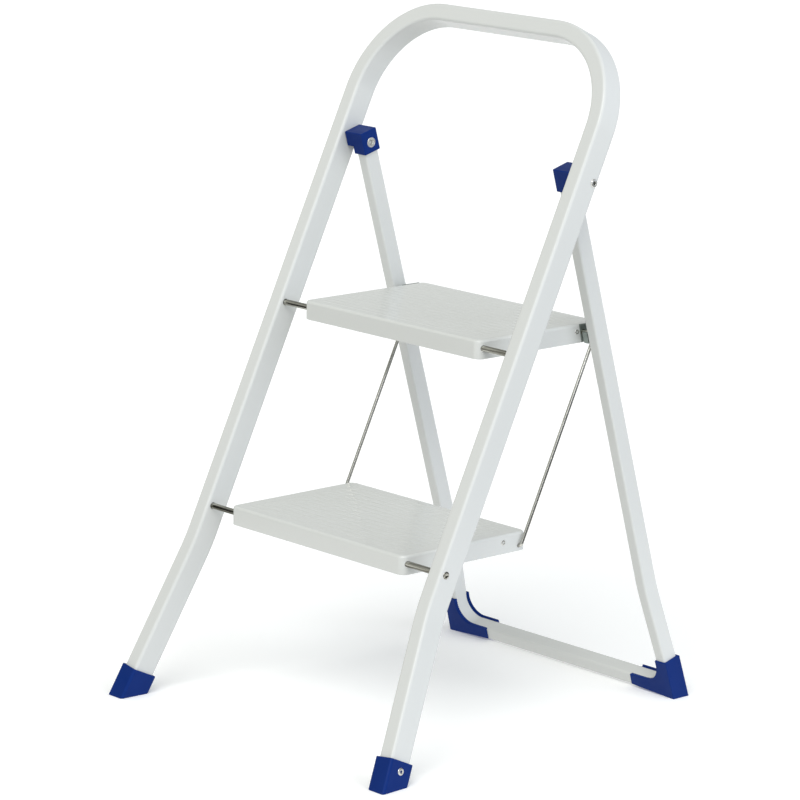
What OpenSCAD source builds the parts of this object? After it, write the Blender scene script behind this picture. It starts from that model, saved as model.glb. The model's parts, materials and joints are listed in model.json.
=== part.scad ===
// Folding two-step household stool, standing open.
// Frame: +X to the viewer's right, front faces -Y, +Z up, origin on the floor under the middle.

/* [Frames] */
// lean of the front frame from the vertical, degrees
front_lean = 25.3; // [24.8:0.1:25.8]
// lean of the rear frame from the vertical, degrees
rear_lean = 16.35; // [16:0.05:16.6]
// distance between the centrelines of the front legs above the splay
front_span = 398; // [394:1:420]
// length of the front frame from the floor line to the middle of the handrail, along the leg
front_length = 860; // [840:1:900]
// bend radius of the handrail corners, at the tube's centreline
handrail_bend = 105; // [80:1:130]
// angle of the outward splay of the front legs, degrees
splay = 7.9; // [5:0.1:9]
// distance between the centrelines of the rear legs above the flare
rear_span = 338; // [334:1:338]
// angle of the outward flare of the rear legs, degrees
flare = 6; // [3:0.5:7]

/* [Tube] */
// width of the front tube, across the stool
front_tube_w = 20; // [18:1:20]
// depth of the front tube, front to back
front_tube_d = 30; // [28:1:30]
// width of the rear tube, across the stool
rear_tube_w = 15; // [14:1:15]
// depth of the rear tube, front to back
rear_tube_d = 20; // [19:1:20]
// wall of both tubes
tube_wall = 1.2; // [1:0.1:1.5]

/* [Steps] */
// width of a step across the stool
step_w = 296; // [280:1:296]
// depth of a step, front to back
step_d = 188; // [186:1:190]
// height of a step's side walls
step_h = 22.4; // [21:0.2:24]
// sheet thickness of a step
sheet = 1.2; // [1:0.1:1.5]
// corner radius of a step in plan
step_corner = 9; // [7:1:9]
// number of ribs on a tread
rib_count = 15; // [11:1:17]

/* [Metal fittings] */
// diameter of the step axles
axle_d = 7; // [6:0.5:7]
// diameter of the tie wires
wire_d = 4; // [3:0.5:4]
// diameter of the catch pins
catch_pin_d = 7; // [6:0.5:7]
// thickness of the catch bracket sheet
bracket_t = 2; // [1.5:0.1:2]

/* [Plastic fittings] */
// wall of the foot and top caps
cap_wall = 2.8; // [2:0.2:3]
// height of the front foot caps along the leg
foot_top = 31; // [28:1:36]

/* [Hidden] */

$fn = 48;
gap = 0.05;
long = 900;

// Every run of tube laps a little into its bends, which stand a hair proud, so no union rests on
// faces that only nearly match
lap = 0.05;
proud = 0.01;

white = [0.87, 0.88, 0.88];
blue = [0.08, 0.2, 0.58];
steel = [0.72, 0.71, 0.68];
zinc = [0.5, 0.54, 0.53];

// Front frame: X across, Z along the leg, Y through its depth
front_x = front_span / 2;
front_inner_x = front_x - front_tube_w / 2;
front_outer_x = front_x + front_tube_w / 2;
front_corner = 3.5;
splay_at = 194;
splay_bend = 250;
splay_top = splay_at + splay_bend * tan(splay / 2);
splay_low_s = splay_top - splay_bend * sin(splay);
front_end_s = 15;
foot_rivet_s = 20;
foot_w = front_tube_w + 2 * cap_wall;
foot_d = front_tube_d + 2 * cap_wall;
handrail_run = front_x - handrail_bend;
front_leg_run = front_length - handrail_bend - splay_top;
splay_run = (splay_low_s - front_end_s) / cos(splay);

// Axles, in the front frame's own coordinates
axle_depth = -6.6;
upper_axle_s = 489.4;
lower_axle_s = 237.6;
axle_spacing = upper_axle_s - lower_axle_s;

// Pivot of the rear frame
pivot_s = 698.2;
pivot_depth = 8.8;
pivot_z = pivot_s * cos(front_lean) - pivot_depth * sin(front_lean);
pivot_d = 6;

// The origin is halfway between the front feet's toes and the rear boots' heels
boot_wall = 2;
pivot_reach = pivot_s * sin(front_lean) + pivot_depth * cos(front_lean);
rear_reach = pivot_reach + pivot_z * tan(rear_lean);
toe_reach = -(front_tube_d / 2 + cap_wall) / cos(front_lean);
heel_reach = rear_reach + (rear_tube_d / 2 + boot_wall) / cos(rear_lean);
front_foot_y = -(toe_reach + heel_reach) / 2;
pivot_y = front_foot_y + pivot_reach;

// Rear frame: X across, Z along the leg, Y through its depth
rear_foot_y = front_foot_y + rear_reach;
rear_pivot_s = pivot_z / cos(rear_lean);
rear_x = rear_span / 2;
rear_inner_x = rear_x - rear_tube_w / 2;
rear_outer_x = rear_x + rear_tube_w / 2;
rear_corner = 2.5;
rear_top_s = rear_pivot_s + 9;
flare_at = 140;
flare_bend = 250;
flare_top = flare_at + flare_bend * tan(flare / 2);
bar_s = 12.8;
bar_bend = 30;
bar_bend_s = bar_s + bar_bend;
flare_run = (flare_top - flare_bend * sin(flare) - bar_bend_s - bar_bend * sin(flare)) / cos(flare);
bar_bend_x = rear_x + (flare_at - bar_bend_s) * tan(flare) - bar_bend / cos(flare);
boot_bare_x = 186;
boot_rise = 3.2;

// Steps, measured from their axle
step_front = 8;
step_top = 10.2;
step_half = step_w / 2;
wall_in = step_half - sheet;
rib_h = 0.5;
border = 15;

// Tie wires, measured from the axle they are parallel to
wire_x = 151.6;
wire_back = 167.6;
wire_drop = 6;
wire_bend = 3.5;
wire_end_x = 142.4;

// Catch pins, measured from the upper axle
pin_back = 152.2;
pin_drop = 0;
pin_end_x = 159.2;
pin_neck_d = 5;

// Wire plates inside the side walls, and corner plates outside the upper step's, measured from the axle
plate_t = 2;
plate_front = 138;
plate_rear = 171.4;
plate_low = -11;
plate_high = 8.2;
plate_rivet_back = 143.6;
plate_rivet_drop = -0.8;
corner_plate_t = 1.25;
corner_plate_front = 146.6;
corner_plate_rear = 173;
corner_plate_slant = 4.4;
corner_plate_high = 9.4;

function front_y(s, t) = front_foot_y + s * sin(front_lean) + t * cos(front_lean);
function front_z(s, t) = s * cos(front_lean) - t * sin(front_lean);

upper_axle_y = front_y(upper_axle_s, axle_depth);
upper_axle_z = front_z(upper_axle_s, axle_depth);
lower_axle_y = front_y(lower_axle_s, axle_depth);
lower_axle_z = front_z(lower_axle_s, axle_depth);
catch_pin_y = upper_axle_y + pin_back;
catch_pin_z = upper_axle_z - pin_drop;
catch_s = (rear_foot_y - catch_pin_y) * sin(rear_lean) + catch_pin_z * cos(rear_lean);

module front_plane() {
    translate([0, front_foot_y, 0])
        rotate([-front_lean, 0, 0])
            children();
}

module rear_plane() {
    translate([0, rear_foot_y, 0])
        rotate([rear_lean, 0, 0])
            children();
}

module upper_place() {
    translate([0, upper_axle_y, upper_axle_z])
        children();
}

module lower_place() {
    translate([0, lower_axle_y, lower_axle_z])
        children();
}

module rounded_rect(w, d, r) {
    square([w - 2 * r, d], center = true);
    square([w, d - 2 * r], center = true);
    for (sx = [-1, 1], sy = [-1, 1])
        translate([sx * (w / 2 - r), sy * (d / 2 - r)])
            circle(r = r);
}

module cross_rod(d, x0, x1) {
    translate([x0, 0, 0])
        rotate([0, 90, 0])
            cylinder(d = d, h = x1 - x0);
}

// The place at the far end of a bend that starts at the origin along +Z and turns toward -X
module after_bend(radius, turn) {
    translate([-radius, 0, 0])
        rotate([0, -turn, 0])
            translate([radius, 0, 0])
                children();
}

// The bend itself, cut off in the plane where the next run starts
module bend(radius, turn) {
    difference() {
        translate([-radius, 0, 0])
            rotate([90, 0, 0])
                rotate_extrude(angle = turn + 10)
                    translate([radius, 0])
                        children();
        after_bend(radius, turn)
            translate([-long, -long, 0])
                cube(2 * long);
    }
}

module turned_over() {
    rotate([0, 0, 180])
        children();
}

module run(length) {
    translate([0, 0, -lap])
        linear_extrude(length + 2 * lap)
            children();
}

// Tube sections; inset is 0 for the outside and the wall thickness for the bore
module front_section(inset) {
    rounded_rect(front_tube_w - 2 * inset, front_tube_d - 2 * inset, front_corner - inset);
}

module rear_section(inset) {
    rounded_rect(rear_tube_w - 2 * inset, rear_tube_d - 2 * inset, rear_corner - inset);
}

// The front tube runs from the middle of the handrail, down the leg and out into the splay
module handrail_place() {
    translate([0, 0, front_length])
        rotate([0, 90, 0])
            turned_over()
                children();
}

module front_leg_place() {
    handrail_place()
        translate([0, 0, handrail_run])
            after_bend(handrail_bend, 90)
                children();
}

module splayed_leg() {
    front_leg_place()
        translate([0, 0, front_leg_run])
            turned_over()
                after_bend(splay_bend, splay)
                    children();
}

module front_half_tube(inset) {
    handrail_place() {
        run(handrail_run)
            front_section(inset);
        translate([0, 0, handrail_run])
            bend(handrail_bend, 90)
                front_section(inset - proud);
    }
    front_leg_place() {
        run(front_leg_run)
            front_section(inset);
        translate([0, 0, front_leg_run])
            turned_over()
                bend(splay_bend, splay)
                    front_section(inset - proud);
    }
    splayed_leg()
        run(splay_run + abs(inset))
            front_section(inset);
}

module front_tube(inset) {
    front_half_tube(inset);
    mirror([1, 0, 0])
        front_half_tube(inset);
}

module front_frame() {
    color(white)
        difference() {
            front_plane()
                front_tube(0);
            front_plane() {
                front_tube(tube_wall);
                translate([0, axle_depth, upper_axle_s])
                    cross_rod(axle_d + 2 * gap, 4 - front_outer_x, front_outer_x - 4);
                translate([0, axle_depth, lower_axle_s])
                    cross_rod(axle_d + 2 * gap, -long, long);
                translate([0, pivot_depth, pivot_s])
                    cross_rod(pivot_d + 2 * gap, -long, long);
            }
            foot_rivet_place()
                cylinder(d = 4 + 2 * gap, h = 40, center = true);
            mirror([1, 0, 0])
                foot_rivet_place()
                    cylinder(d = 4 + 2 * gap, h = 40, center = true);
        }
}

module foot_rivet_place() {
    front_plane()
        splayed_leg()
            translate([-front_tube_w / 2, 0, (splay_low_s - foot_rivet_s) / cos(splay)])
                rotate([0, 90, 0])
                    children();
}

module front_foot_right() {
    color(blue)
        difference() {
            front_plane()
                splayed_leg()
                    translate([0, 0, (splay_low_s - foot_top) / cos(splay)])
                        linear_extrude(80)
                            rounded_rect(foot_w, foot_d, front_corner);
            front_plane()
                front_half_tube(-gap);
            foot_rivet_place()
                cylinder(d = 4 + 2 * gap, h = 40, center = true);
            translate([-long, -long, -long])
                cube([2 * long, 2 * long, long]);
        }
}

module foot_rivet_right() {
    color(steel)
        foot_rivet_place() {
            translate([0, 0, -cap_wall - 1.2])
                cylinder(d = 8.5, h = 1.2 - gap);
            translate([0, 0, -cap_wall - 1.2])
                cylinder(d = 4, h = cap_wall + 5);
        }
}

module upper_axle() {
    color(steel)
        front_plane()
            translate([0, axle_depth, upper_axle_s])
                cross_rod(axle_d, 5 - front_outer_x, front_outer_x - 5);
}

module lower_axle() {
    color(steel)
        front_plane()
            translate([0, axle_depth, lower_axle_s]) {
                cross_rod(axle_d, -front_outer_x - 0.8, front_outer_x + 0.8);
                cross_rod(axle_d + 1.4, front_outer_x + gap, front_outer_x + 0.8);
                cross_rod(axle_d + 1.4, -front_outer_x - 0.8, -front_outer_x - gap);
            }
}

module pivot_rivet_right() {
    cap_face = rear_inner_x - 2.2;
    color(steel)
        front_plane()
            translate([0, pivot_depth, pivot_s]) {
                cross_rod(pivot_d, cap_face - 1.6, front_outer_x + 1.6);
                cross_rod(12, cap_face - 1.2, cap_face - gap);
                cross_rod(9.5, front_outer_x + gap, front_outer_x + 1.2);
            }
}

// The rear tube runs from the middle of the floor bar, up the flared leg and on to the pivot
module floor_bar_place() {
    translate([0, 0, bar_s])
        rotate([0, 90, 0])
            children();
}

module flared_leg() {
    floor_bar_place()
        translate([0, 0, bar_bend_x])
            after_bend(bar_bend, 90 + flare)
                children();
}

module rear_leg_place() {
    flared_leg()
        translate([0, 0, flare_run])
            turned_over()
                after_bend(flare_bend, flare)
                    children();
}

module rear_half_tube(inset) {
    floor_bar_place() {
        run(bar_bend_x)
            rear_section(inset);
        translate([0, 0, bar_bend_x])
            bend(bar_bend, 90 + flare)
                rear_section(inset - proud);
    }
    flared_leg() {
        run(flare_run)
            rear_section(inset);
        translate([0, 0, flare_run])
            turned_over()
                bend(flare_bend, flare)
                    rear_section(inset - proud);
    }
    rear_leg_place()
        run(rear_top_s - flare_top + abs(inset))
            rear_section(inset);
}

module rear_tube(inset) {
    rear_half_tube(inset);
    mirror([1, 0, 0])
        rear_half_tube(inset);
}

module rear_frame() {
    color(white)
        difference() {
            rear_plane()
                rear_tube(0);
            rear_plane()
                rear_tube(tube_wall);
            translate([0, pivot_y, pivot_z])
                cross_rod(pivot_d + 2 * gap, -long, long);
        }
}

module boot_outline(inner, tip_x) {
    top_s = 50;
    leg_x = rear_x + (flare_at - top_s) * tan(flare);
    difference() {
        polygon([
            [leg_x + rear_tube_w / 2 + 3.4, top_s],
            [leg_x + rear_tube_w / 2 + 6.6, -12],
            [tip_x, -12],
            [tip_x, bar_s + rear_tube_w / 2 + inner],
            [bar_bend_x, bar_s + rear_tube_w / 2 + inner],
            [leg_x - rear_tube_w / 2 - inner, bar_bend_s],
            [leg_x - rear_tube_w / 2 - inner, top_s],
        ]);
        translate([bar_bend_x, bar_bend_s])
            circle(r = bar_bend - rear_tube_w / 2 - inner);
        translate([bar_bend_x - 60, bar_bend_s])
            square([60 + bar_bend - rear_tube_w / 2 - inner, 30]);
        translate([bar_bend_x - 60, bar_s + rear_tube_w / 2 + inner])
            square([60, 60]);
    }
}

module rear_boot_right() {
    tip = 123.5;
    deep = rear_tube_d / 2 + boot_wall;
    color(blue)
        difference() {
            rear_plane() {
                rotate([90, 0, 0])
                    translate([0, 0, -rear_tube_d / 2])
                        linear_extrude(rear_tube_d + boot_wall)
                            boot_outline(0, tip);
                rotate([90, 0, 0])
                    translate([0, 0, -deep])
                        linear_extrude(boot_wall)
                            boot_outline(3, tip);
            }
            rear_plane()
                rear_half_tube(-gap);
            translate([boot_bare_x, 0, 0])
                rotate([0, boot_rise, 0])
                    translate([-long, -long, -long])
                        cube([long, 2 * long, long]);
            translate([-long, -long, -long])
                cube([2 * long, 2 * long, long]);
        }
}

module pivot_cap_right() {
    side_wall = 2.2;
    deep = rear_tube_d + 4;
    in_x = rear_inner_x - side_wall;
    out_x = rear_outer_x + side_wall;
    low_s = rear_pivot_s - 12.5;
    high_s = rear_pivot_s + 14.5;
    color(blue)
        difference() {
            rear_plane() {
                translate([in_x, -deep / 2, low_s])
                    cube([out_x - in_x, deep, high_s - low_s]);
                translate([out_x - 1, -deep / 2, rear_pivot_s - 3.5])
                    cube([front_inner_x - 0.3 - out_x + 1, deep, high_s - rear_pivot_s + 3.5]);
            }
            rear_plane()
                rear_half_tube(-gap);
            translate([0, pivot_y, pivot_z])
                cross_rod(pivot_d + 2 * gap, 0, long);
        }
}

module catch_bracket_right() {
    pin_r = catch_pin_d / 2;
    floor_s = catch_s - pin_r - 0.15 - bracket_t;
    below_floor = 4.5;
    tall = 13.4;
    in_x = wire_x + wire_d / 2 + 0.6;
    out_x = rear_inner_x - gap;
    color(zinc)
        rear_plane()
            translate([in_x, -rear_tube_d / 2, floor_s]) {
                translate([out_x - in_x - bracket_t, 0, -below_floor])
                    cube([bracket_t, 18, tall]);
                translate([0, 0, -below_floor])
                    cube([out_x - in_x, bracket_t, tall]);
                cube([out_x - in_x, 10, bracket_t]);
            }
}

module step_pan() {
    front = -step_front;
    mid_y = front + step_d / 2;
    rib_pitch = (step_d - 2 * border) / (rib_count - 1);
    color(white)
        difference() {
            union() {
                translate([0, mid_y, step_top - step_h])
                    linear_extrude(step_h - rib_h)
                        rounded_rect(step_w, step_d, step_corner);
                for (i = [0 : rib_count - 1])
                    translate([border - step_half, front + border + i * rib_pitch - 1, step_top - rib_h])
                        translate([0, 0, -0.1])
                            cube([step_w - 2 * border, 2, rib_h + 0.1]);
            }
            translate([0, mid_y, step_top - step_h - 1])
                linear_extrude(step_h - rib_h - sheet + 1)
                    rounded_rect(step_w - 2 * sheet, step_d - 2 * sheet, step_corner - sheet);
            cross_rod(axle_d + 2 * gap, -long, long);
            translate([0, wire_back, -wire_drop])
                cross_rod(wire_d + 0.6, -long, long);
            translate([0, plate_rivet_back, -plate_rivet_drop])
                cross_rod(4 + 2 * gap, -long, long);
        }
}

module upper_step() {
    difference() {
        upper_place()
            step_pan();
        color(white)
            translate([0, catch_pin_y, catch_pin_z])
                cross_rod(pin_neck_d + 2 * gap, -long, long);
    }
}

module lower_step() {
    lower_place()
        step_pan();
}

module catch_pin_right() {
    inner = wall_in - plate_t;
    shoulder = step_half + corner_plate_t + 2 * gap;
    color(steel)
        translate([0, catch_pin_y, catch_pin_z]) {
            cross_rod(catch_pin_d, shoulder, pin_end_x);
            cross_rod(pin_neck_d, inner - 1.5, shoulder + 1);
            cross_rod(7, inner - 1.5, inner - gap);
        }
}

module wire_plate(with_pin) {
    color(zinc)
        difference() {
            translate([wall_in - gap - plate_t, plate_front, plate_low])
                cube([plate_t, plate_rear - plate_front, plate_high - plate_low]);
            translate([0, wire_back, -wire_drop])
                cross_rod(wire_d + 0.15, 0, long);
            translate([0, plate_rivet_back, -plate_rivet_drop])
                cross_rod(4 + 2 * gap, 0, long);
            if (with_pin)
                translate([0, pin_back, -pin_drop])
                    cross_rod(pin_neck_d + 2 * gap, 0, long);
        }
}

module upper_corner_plate_right() {
    color(zinc)
        upper_place()
            difference() {
                translate([step_half + gap, 0, 0])
                    rotate([90, 0, 90])
                        linear_extrude(corner_plate_t)
                            polygon([
                                [corner_plate_front + corner_plate_slant, plate_low],
                                [corner_plate_rear, plate_low],
                                [corner_plate_rear, corner_plate_high],
                                [corner_plate_front, corner_plate_high],
                            ]);
                translate([0, wire_back, -wire_drop])
                    cross_rod(wire_d + 1.8, 0, long);
                translate([0, pin_back, -pin_drop])
                    cross_rod(pin_neck_d + 2 * gap, 0, long);
            }
}

module plate_rivet() {
    inner = wall_in - plate_t - 2 * gap;
    color(white)
        translate([0, plate_rivet_back, -plate_rivet_drop]) {
            cross_rod(4, inner - 1.4, step_half + 0.6);
            cross_rod(7, inner - 1.4, inner);
            cross_rod(6, step_half + gap, step_half + 0.6);
        }
}

module plate_rivet_pair() {
    plate_rivet();
    mirror([1, 0, 0])
        plate_rivet();
}

module upper_wire_plate_right() {
    upper_place()
        wire_plate(true);
}

module lower_wire_plate_right() {
    lower_place()
        wire_plate(false);
}

module upper_plate_rivets() {
    upper_place()
        plate_rivet_pair();
}

module lower_plate_rivets() {
    lower_place()
        plate_rivet_pair();
}

module wire_hook() {
    translate([wire_x - wire_bend, 0, 0])
        rotate([0, 90, 0])
            bend(wire_bend, 90)
                circle(d = wire_d);
    cross_rod(wire_d, wire_end_x, wire_x - wire_bend);
}

module tie_wire_right() {
    color(steel)
        translate([0, lower_axle_y + wire_back, lower_axle_z - wire_drop])
            rotate([-front_lean, 0, 0]) {
                translate([wire_x, 0, wire_bend])
                    cylinder(d = wire_d, h = axle_spacing - 2 * wire_bend);
                wire_hook();
                translate([0, 0, axle_spacing])
                    mirror([0, 0, 1])
                        wire_hook();
            }
}

front_frame();
mirror([1, 0, 0]) front_foot_right();  // front_foot_left
front_foot_right();
mirror([1, 0, 0]) foot_rivet_right();  // foot_rivet_left
foot_rivet_right();
upper_axle();
lower_axle();
mirror([1, 0, 0]) pivot_rivet_right();  // pivot_rivet_left
pivot_rivet_right();
rear_frame();
mirror([1, 0, 0]) rear_boot_right();  // rear_boot_left
rear_boot_right();
mirror([1, 0, 0]) pivot_cap_right();  // pivot_cap_left
pivot_cap_right();
mirror([1, 0, 0]) catch_bracket_right();  // catch_bracket_left
catch_bracket_right();
upper_step();
mirror([1, 0, 0]) catch_pin_right();  // catch_pin_left
catch_pin_right();
mirror([1, 0, 0]) upper_wire_plate_right();  // upper_wire_plate_left
upper_wire_plate_right();
mirror([1, 0, 0]) upper_corner_plate_right();  // upper_corner_plate_left
upper_corner_plate_right();
upper_plate_rivets();
lower_step();
mirror([1, 0, 0]) lower_wire_plate_right();  // lower_wire_plate_left
lower_wire_plate_right();
lower_plate_rivets();
mirror([1, 0, 0]) tie_wire_right();  // tie_wire_left
tie_wire_right();
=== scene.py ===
"""Looks of the folding step stool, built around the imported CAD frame.

Meshes are made in millimetres in three local frames and placed in the row frame in metres:
the front frame's own (X across, Z up the leg, Y through its depth), the rear frame's own, and
the one at a step's axle, which has the row's axes.
"""
import json
import math

import bmesh
import bpy
from mathutils import Matrix, Vector


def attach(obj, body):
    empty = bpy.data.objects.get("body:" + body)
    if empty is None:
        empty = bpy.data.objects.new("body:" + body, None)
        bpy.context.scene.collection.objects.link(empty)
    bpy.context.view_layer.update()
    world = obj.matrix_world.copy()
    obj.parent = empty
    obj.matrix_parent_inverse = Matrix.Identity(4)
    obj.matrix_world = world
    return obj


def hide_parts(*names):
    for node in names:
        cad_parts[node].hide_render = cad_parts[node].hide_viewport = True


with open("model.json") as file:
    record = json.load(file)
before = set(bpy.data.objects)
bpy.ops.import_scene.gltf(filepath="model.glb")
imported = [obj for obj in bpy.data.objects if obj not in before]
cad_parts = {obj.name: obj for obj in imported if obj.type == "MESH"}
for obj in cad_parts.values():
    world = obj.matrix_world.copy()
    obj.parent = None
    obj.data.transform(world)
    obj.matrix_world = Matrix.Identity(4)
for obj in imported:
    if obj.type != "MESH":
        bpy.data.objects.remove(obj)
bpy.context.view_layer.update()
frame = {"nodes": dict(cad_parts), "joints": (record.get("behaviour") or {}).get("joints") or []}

MM = 0.001

# ---------------------------------------------------------------- sizes in millimetres, as in the CAD

# GAP is the fit between touching pieces, PAST how far a cutter reaches beyond what it cuts.
# A name's _S is a place along a leg from the floor, _X one across from the middle plane, _BACK
# one behind a step's axle, _W a width and _D a depth.
GAP, PAST = 0.05, 5.0
REAR_LEAN = math.radians(16.35)
AXLE_DEPTH = -6.6

FRONT_W, FRONT_D, FRONT_CORNER = 20.0, 30.0, 3.5
REAR_W, REAR_D, REAR_CORNER = 15.0, 20.0, 2.5
TUBE_WALL = 1.2

FRONT_X = 199.0
FRONT_LENGTH = 860.0
HANDRAIL_BEND = 105.0
SPLAY, SPLAY_AT, SPLAY_BEND = math.radians(7.9), 194.0, 250.0
FRONT_END_S = 15.0

REAR_X = 169.0
FLARE, FLARE_AT, FLARE_BEND = math.radians(6.0), 140.0, 250.0
BAR_S, BAR_BEND, REAR_PAST_PIVOT = 12.8, 30.0, 9.0

AXLE_R = 3.5
PIVOT_DEPTH, PIVOT_R = 8.8, 3.0
FOOT_TOP, FOOT_WALL, FOOT_RIVET_S = 31.0, 2.8, 20.0
BOOT_WALL, BOOT_TOP_S, BOOT_TIP_X = 2.0, 50.0, 123.5
BOOT_BARE_X, BOOT_RISE = 186.0, math.radians(3.2)
CAP_SIDE, CAP_DEEP = 2.2, 24.0

STEP_W, STEP_D, STEP_H, STEP_CORNER = 296.0, 188.0, 22.4, 9.0
STEP_FRONT, STEP_TOP, SHEET = -8.0, 10.2, 1.2
RIB_H, RIB_SHOWN, RIB_COUNT, BORDER = 0.5, 0.4, 15, 15.0
EDGE_R = 3.4
WIRE_X, WIRE_END_X, WIRE_BEND, WIRE_R = 151.6, 142.4, 3.5, 2.0
WIRE_BACK, WIRE_DROP = 167.6, 6.0
PIN_BACK, PIN_R, PIN_NECK_R, PIN_END_X = 152.2, 3.5, 2.5, 159.2
PLATE_T, PLATE_RIVET_BACK, PLATE_RIVET_UP = 2.0, 143.6, 0.8
CORNER_PLATE_T = 1.25


# ---------------------------------------------------------------- the three local frames

def hinge_place(joint):
    """(y, z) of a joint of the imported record, in millimetres."""
    pos = next(j["pos_m"] for j in frame["joints"] if j["name"] == joint)
    return pos[1] / MM, pos[2] / MM


UPPER_Y, UPPER_Z = hinge_place("upper_step_hinge")
LOWER_Y, LOWER_Z = hinge_place("lower_step_hinge")
PIVOT_Y, PIVOT_Z = hinge_place("rear_frame_hinge")
FRONT_LEAN = math.atan2(UPPER_Y - LOWER_Y, UPPER_Z - LOWER_Z)
AXLE_SPACING = math.hypot(UPPER_Y - LOWER_Y, UPPER_Z - LOWER_Z)


def along_front(y, z, foot_y=0.0):
    """(s, t) of a point in the front frame's own coordinates."""
    y -= foot_y
    s = y * math.sin(FRONT_LEAN) + z * math.cos(FRONT_LEAN)
    t = y * math.cos(FRONT_LEAN) - z * math.sin(FRONT_LEAN)
    return s, t


FRONT_FOOT_Y = (along_front(LOWER_Y, LOWER_Z)[1] - AXLE_DEPTH) / math.cos(FRONT_LEAN)
LOWER_S = along_front(LOWER_Y, LOWER_Z, FRONT_FOOT_Y)[0]
UPPER_S = LOWER_S + AXLE_SPACING
PIVOT_S = along_front(PIVOT_Y, PIVOT_Z, FRONT_FOOT_Y)[0]
REAR_FOOT_Y = PIVOT_Y + PIVOT_Z * math.tan(REAR_LEAN)
REAR_PIVOT_S = PIVOT_Z / math.cos(REAR_LEAN)

TO_METRES = Matrix.Scale(MM, 4)
FRONT = TO_METRES @ Matrix.Translation((0, FRONT_FOOT_Y, 0)) @ Matrix.Rotation(-FRONT_LEAN, 4, "X")
REAR = TO_METRES @ Matrix.Translation((0, REAR_FOOT_Y, 0)) @ Matrix.Rotation(REAR_LEAN, 4, "X")
UPPER = TO_METRES @ Matrix.Translation((0, UPPER_Y, UPPER_Z))
LOWER = TO_METRES @ Matrix.Translation((0, LOWER_Y, LOWER_Z))
MIRROR = Matrix.Scale(-1, 4, (1, 0, 0))


# ---------------------------------------------------------------- mesh tools

def arc_points(centre, radius, start, end, steps):
    """Points of an arc in a plane, both ends included, with the angles in radians."""
    out = []
    for i in range(steps + 1):
        a = start + (end - start) * i / steps
        out.append((centre[0] + radius * math.cos(a), centre[1] + radius * math.sin(a)))
    return out


def rounded_rect(w, d, r, steps=6):
    """Outline of a rounded rectangle about the origin."""
    out = []
    for k, (sx, sy) in enumerate(((1, 1), (-1, 1), (-1, -1), (1, -1))):
        centre = (sx * (w / 2 - r), sy * (d / 2 - r))
        out += arc_points(centre, r, k * math.pi / 2, (k + 1) * math.pi / 2, steps)
    return out


def shifted(point, angle, by=1.2):
    """The point moved by a distance in the direction of an angle."""
    return point[0] + by * math.cos(angle), point[1] + by * math.sin(angle)


def tube_outline(w, d, r, steps=8):
    """A rounded rectangle with a line of points just inside each flat, to keep the flats even."""
    points = rounded_rect(w, d, r, steps)
    out = []
    for k in range(4):
        corner = points[k * (steps + 1):(k + 1) * (steps + 1)]
        turn = k * math.pi / 2
        out += [shifted(corner[0], turn - math.pi / 2), *corner, shifted(corner[-1], turn + math.pi)]
    return out


def walk(start, heading, moves):
    """Stations (point, inward normal) of a path in the X-Z plane.

    The heading is the angle from +Z towards +X. A move is a length, or (radius, turn) with the
    turn positive to the right.
    """
    x, z = start
    stations = []

    def note(a):
        stations.append(((x, z), (math.cos(a), -math.sin(a))))

    note(heading)
    for move in moves:
        if not isinstance(move, tuple):
            x += move * math.sin(heading)
            z += move * math.cos(heading)
            note(heading)
            continue
        radius, turn = move
        side = 1 if turn > 0 else -1
        cx = x + side * radius * math.cos(heading)
        cz = z - side * radius * math.sin(heading)
        steps = max(4, round(abs(turn) / math.radians(3)))
        for i in range(1, steps + 1):
            a = heading + turn * i / steps
            x = cx - side * radius * math.cos(a)
            z = cz + side * radius * math.sin(a)
            note(a)
        heading += turn
    return stations


def both_halves(half):
    """A path that starts on the middle plane, continued to the other side of it."""
    other = [((-p[0], p[1]), (-n[0], n[1])) for p, n in reversed(half[1:])]
    return other + half


def rings(stations, outline):
    """The outline at each station, with its first coordinate inward and its second along Y."""
    return [
        [Vector((p[0] + u * n[0], v, p[1] + u * n[1])) for u, v in outline]
        for p, n in stations
    ]


def loft(bm, loops, closed=False, caps=True):
    """Skins consecutive loops of equal length with quads, and caps or joins the ends."""
    made = [[bm.verts.new(p) for p in loop] for loop in loops]
    pairs = list(zip(made, made[1:]))
    if closed:
        pairs.append((made[-1], made[0]))
    for a, b in pairs:
        for i in range(len(a)):
            j = (i + 1) % len(a)
            bm.faces.new((a[i], a[j], b[j], b[i]))
    if caps and not closed:
        bm.faces.new(list(reversed(made[0])))
        bm.faces.new(made[-1])
    return made


def lathe(bm, profile, offset=(0.0, 0.0, 0.0), steps=40):
    """Turns (x, radius) points round the X axis through the offset."""
    ox, oy, oz = offset
    turn = [2 * math.pi * i / steps for i in range(steps)]
    loops = [
        [Vector((ox + x, oy + r * math.cos(a), oz + r * math.sin(a))) for a in turn] for x, r in profile
    ]
    loft(bm, loops)


def prism(bm, outline, t0, t1):
    """An outline in the X-Z plane, extruded along Y from t0 to t1."""
    loft(bm, [[Vector((x, t, z)) for x, z in outline] for t in (t0, t1)])


def tidy(bm):
    """Merges doubled points and turns every face outward."""
    bmesh.ops.remove_doubles(bm, verts=bm.verts, dist=1e-4)
    bmesh.ops.dissolve_degenerate(bm, edges=bm.edges, dist=1e-5)
    bmesh.ops.recalc_face_normals(bm, faces=bm.faces)


def soften(bm, width, segments=3, angle=35):
    """Rounds every edge sharper than the angle."""
    tidy(bm)
    sharp = [e for e in bm.edges if len(e.link_faces) == 2 and e.calc_face_angle() > math.radians(angle)]
    bmesh.ops.bevel(
        bm, geom=sharp, offset=width, offset_type="OFFSET", segments=segments,
        profile=0.5, affect="EDGES", clamp_overlap=True,
    )
    tidy(bm)


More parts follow.
